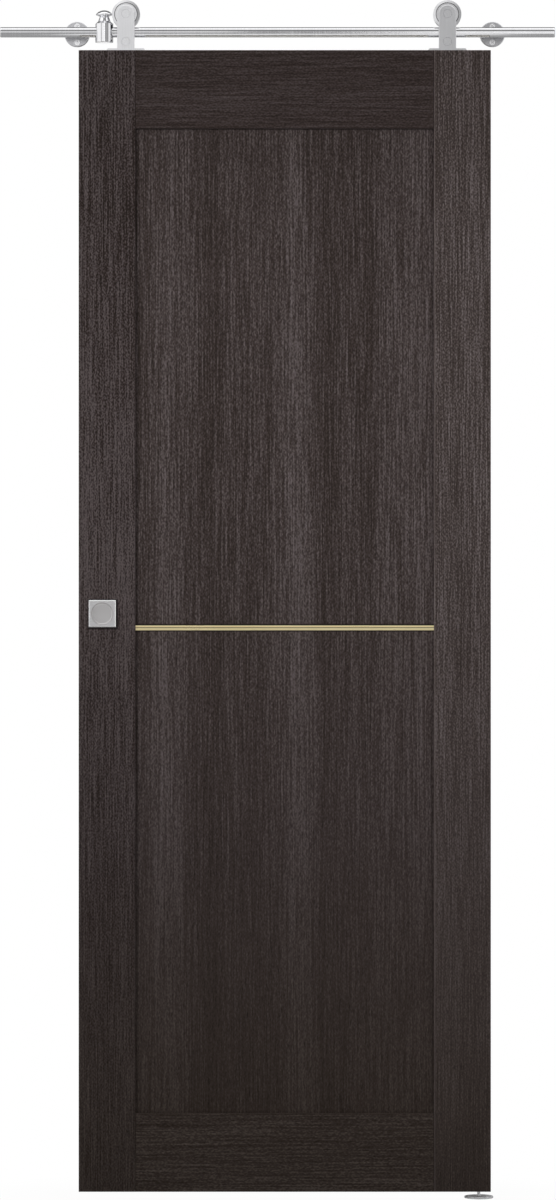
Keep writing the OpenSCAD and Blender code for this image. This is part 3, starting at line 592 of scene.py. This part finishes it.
door_half = 0.37
floor_place = add(tree, "TexCoord")
axes = add(tree, "SeparateXYZ", {0: floor_place.outputs["Object"]})
reach = add(tree, "Math", {0: axes.outputs["X"]}, operation="ABSOLUTE")
reach = add(tree, "Math", {0: reach.outputs[0], 1: door_half}, operation="SUBTRACT")
reach = add(tree, "Math", {0: reach.outputs[0], 1: 0.0}, operation="MAXIMUM")
from_door = add(tree, "CombineXYZ", {0: reach.outputs[0], 1: axes.outputs["Y"]})
away = add(tree, "VectorMath", {0: from_door.outputs[0]}, operation="LENGTH")
shadow_share = 0.97
floor_white = remap(tree, away.outputs["Value"], 0.05, 0.28, shadow_share, 1.0)
floor_grey = (0.6, 0.6, 0.6, 1.0)
paint = add(tree, "BsdfDiffuse", {"Color": floor_grey})
in_metal = add(tree, "LightPath").outputs["Is Glossy Ray"]
in_front = add(tree, "Math", {
    0: remap(tree, reach.outputs[0], 0.13, 0.2, 1.0, 0.0),
    1: remap(tree, axes.outputs["Y"], -0.7, -0.5, 1.0, 0.0)}, operation="MULTIPLY")
around_in_metal, front_in_metal = 0.5, 1.15
floor_in_metal = remap(tree, in_front.outputs[0], 0.0, 1.0, around_in_metal, front_in_metal)
brightness = add(tree, "Mix", {0: in_metal, 2: 1.0, 3: floor_in_metal}, data_type="FLOAT")
glow = add(tree, "Emission", {"Color": (1.0, 1.0, 1.0, 1.0), "Strength": brightness.outputs[0]})
share = add(tree, "Math", {0: seen_ray(tree), 1: floor_white}, operation="MULTIPLY")
both = add(tree, "MixShader", {0: share.outputs[0], 1: paint.outputs[0], 2: glow.outputs[0]})
tree.links.new(both.outputs[0], add(tree, "OutputMaterial").inputs["Surface"])
floor.data.materials.append(floor_paint)


# Studio: a white background and soft light, stronger from the left, at a plain level.
# In the metal the room is grey on the camera's side, with a tall window beside the camera, bright overhead,
# and dark behind the rail.

world = bpy.data.worlds.new("studio")
bpy.context.scene.world = world
world.use_nodes = True
tree = world.node_tree
tree.nodes.clear()
ray = add(tree, "TexCoord")
axes = add(tree, "SeparateXYZ", {0: ray.outputs["Generated"]})
grey_middle = (0.12, -0.97, 0.1)
facing = add(tree, "VectorMath", {0: ray.outputs["Generated"], 1: grey_middle}, operation="DOT_PRODUCT")
window, window_level = 1.0, 1.5
for axis, low_edge, high_edge, soft in (("X", 0.024, 0.08, 0.003), ("Z", -0.6, 0.31, 0.06)):
    for edge, side in ((low_edge, soft), (high_edge, -soft)):
        within = remap(tree, axes.outputs[axis], edge - side, edge + side, 0.0, 1.0)
        window = add(tree, "Math", {0: window, 1: within}, operation="MULTIPLY").outputs[0]
grey = remap(tree, axes.outputs["X"], -0.6, 0.8, 0.57, 0.32)
upper_shade = remap(tree, axes.outputs["Z"], 0.3, 0.45, 1.0, 0.72)
grey = add(tree, "Math", {0: grey, 1: upper_shade}, operation="MULTIPLY").outputs[0]
camera_side = add(tree, "Mix", {0: window, 2: grey, 3: window_level}, data_type="FLOAT").outputs[0]
overhead = remap(tree, axes.outputs["Z"], 0.55, 0.75, 1.0, 1.6)
past_grey = remap(tree, facing.outputs["Value"], 0.6, 0.67, 1.0, 0.0)
ahead = add(tree, "Mix", {0: past_grey, 2: camera_side, 3: overhead}, data_type="FLOAT").outputs[0]
dark = remap(tree, axes.outputs["Z"], 0.1, 0.5, 0.42, 0.2)
behind = add(tree, "Math", {
    0: remap(tree, axes.outputs["Y"], 0.24, 0.4, 0.0, 1.0),
    1: remap(tree, axes.outputs["Y"], 0.93, 0.97, 1.0, 0.0)}, operation="MULTIPLY").outputs[0]
room = add(tree, "Mix", {0: behind, 2: ahead, 3: dark}, data_type="FLOAT").outputs[0]
path = add(tree, "LightPath")
ambient = 0.08
seen_by_metal = add(tree, "Mix", {0: path.outputs["Is Glossy Ray"], 2: ambient, 3: room}, data_type="FLOAT")
plain = add(tree, "Math", {0: path.outputs["Is Camera Ray"], 1: path.outputs["Is Transmission Ray"]},
            operation="MAXIMUM")
level = add(tree, "Mix", {0: plain.outputs[0], 2: seen_by_metal.outputs[0], 3: 1.0}, data_type="FLOAT")
sky = add(tree, "Background", {"Color": (1.0, 1.0, 1.0, 1.0), "Strength": level.outputs[0]})
tree.links.new(sky.outputs[0], add(tree, "OutputWorld").inputs["Surface"])


def softbox(name, place, aim, size, power, spread, in_metal):
    """A square area lamp at a place, turned towards the aim. Its spread is in degrees."""
    lamp = bpy.data.lights.new(name, "AREA")
    lamp.shape = "SQUARE"
    lamp.size = size
    lamp.energy = power
    lamp.spread = math.radians(spread)
    holder = bpy.data.objects.new(name, lamp)
    holder.location = place
    holder.rotation_euler = (Vector(aim) - Vector(place)).to_track_quat("-Z", "Y").to_euler()
    holder.visible_glossy = in_metal
    bpy.context.scene.collection.objects.link(holder)


softbox("key_light", (-1.5, -1.8, -0.55), (0.1, -0.05, -0.7), 1.4, 7.2, 86.0, False)
softbox("fill_light", (1.7, -1.9, -0.5), (0.0, -0.05, -0.6), 1.4, 5.4, 86.0, False)
softbox("front_light", (-0.8, -2.2, 0.25), (-0.8, 0.0, 0.25), 1.4, 3.0, 180.0, True)
softbox("top_light", (-0.1, 0.15, 1.7), (0.0, -0.05, 0.0), 1.2, 28.0, 150.0, False)
softbox("back_light", (1.4, 2.4, -0.3), (0.0, 0.0, -0.9), 1.8, 30.0, 140.0, False)
bpy.context.scene.view_settings.view_transform = "Standard"


# Camera: straight on to the door's front, level with the middle of the picture.
# It stands far back with a long lens, so that hardly any side shows.

picture_height = 2.2183
distance = 8.5
sensor = 36.0
eye_x, eye_z = -0.0125, -1.0518
camera = bpy.data.cameras.new("camera")
camera.sensor_fit = "AUTO"
camera.sensor_width = sensor
camera.lens = sensor * distance / picture_height
camera.clip_end = 100.0
viewer = bpy.data.objects.new("camera", camera)
door_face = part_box("left_stile")[0].y
viewer.location = (eye_x, door_face - distance, eye_z)
viewer.rotation_euler = (math.pi / 2, 0.0, 0.0)
bpy.context.scene.collection.objects.link(viewer)
bpy.context.scene.camera = viewer
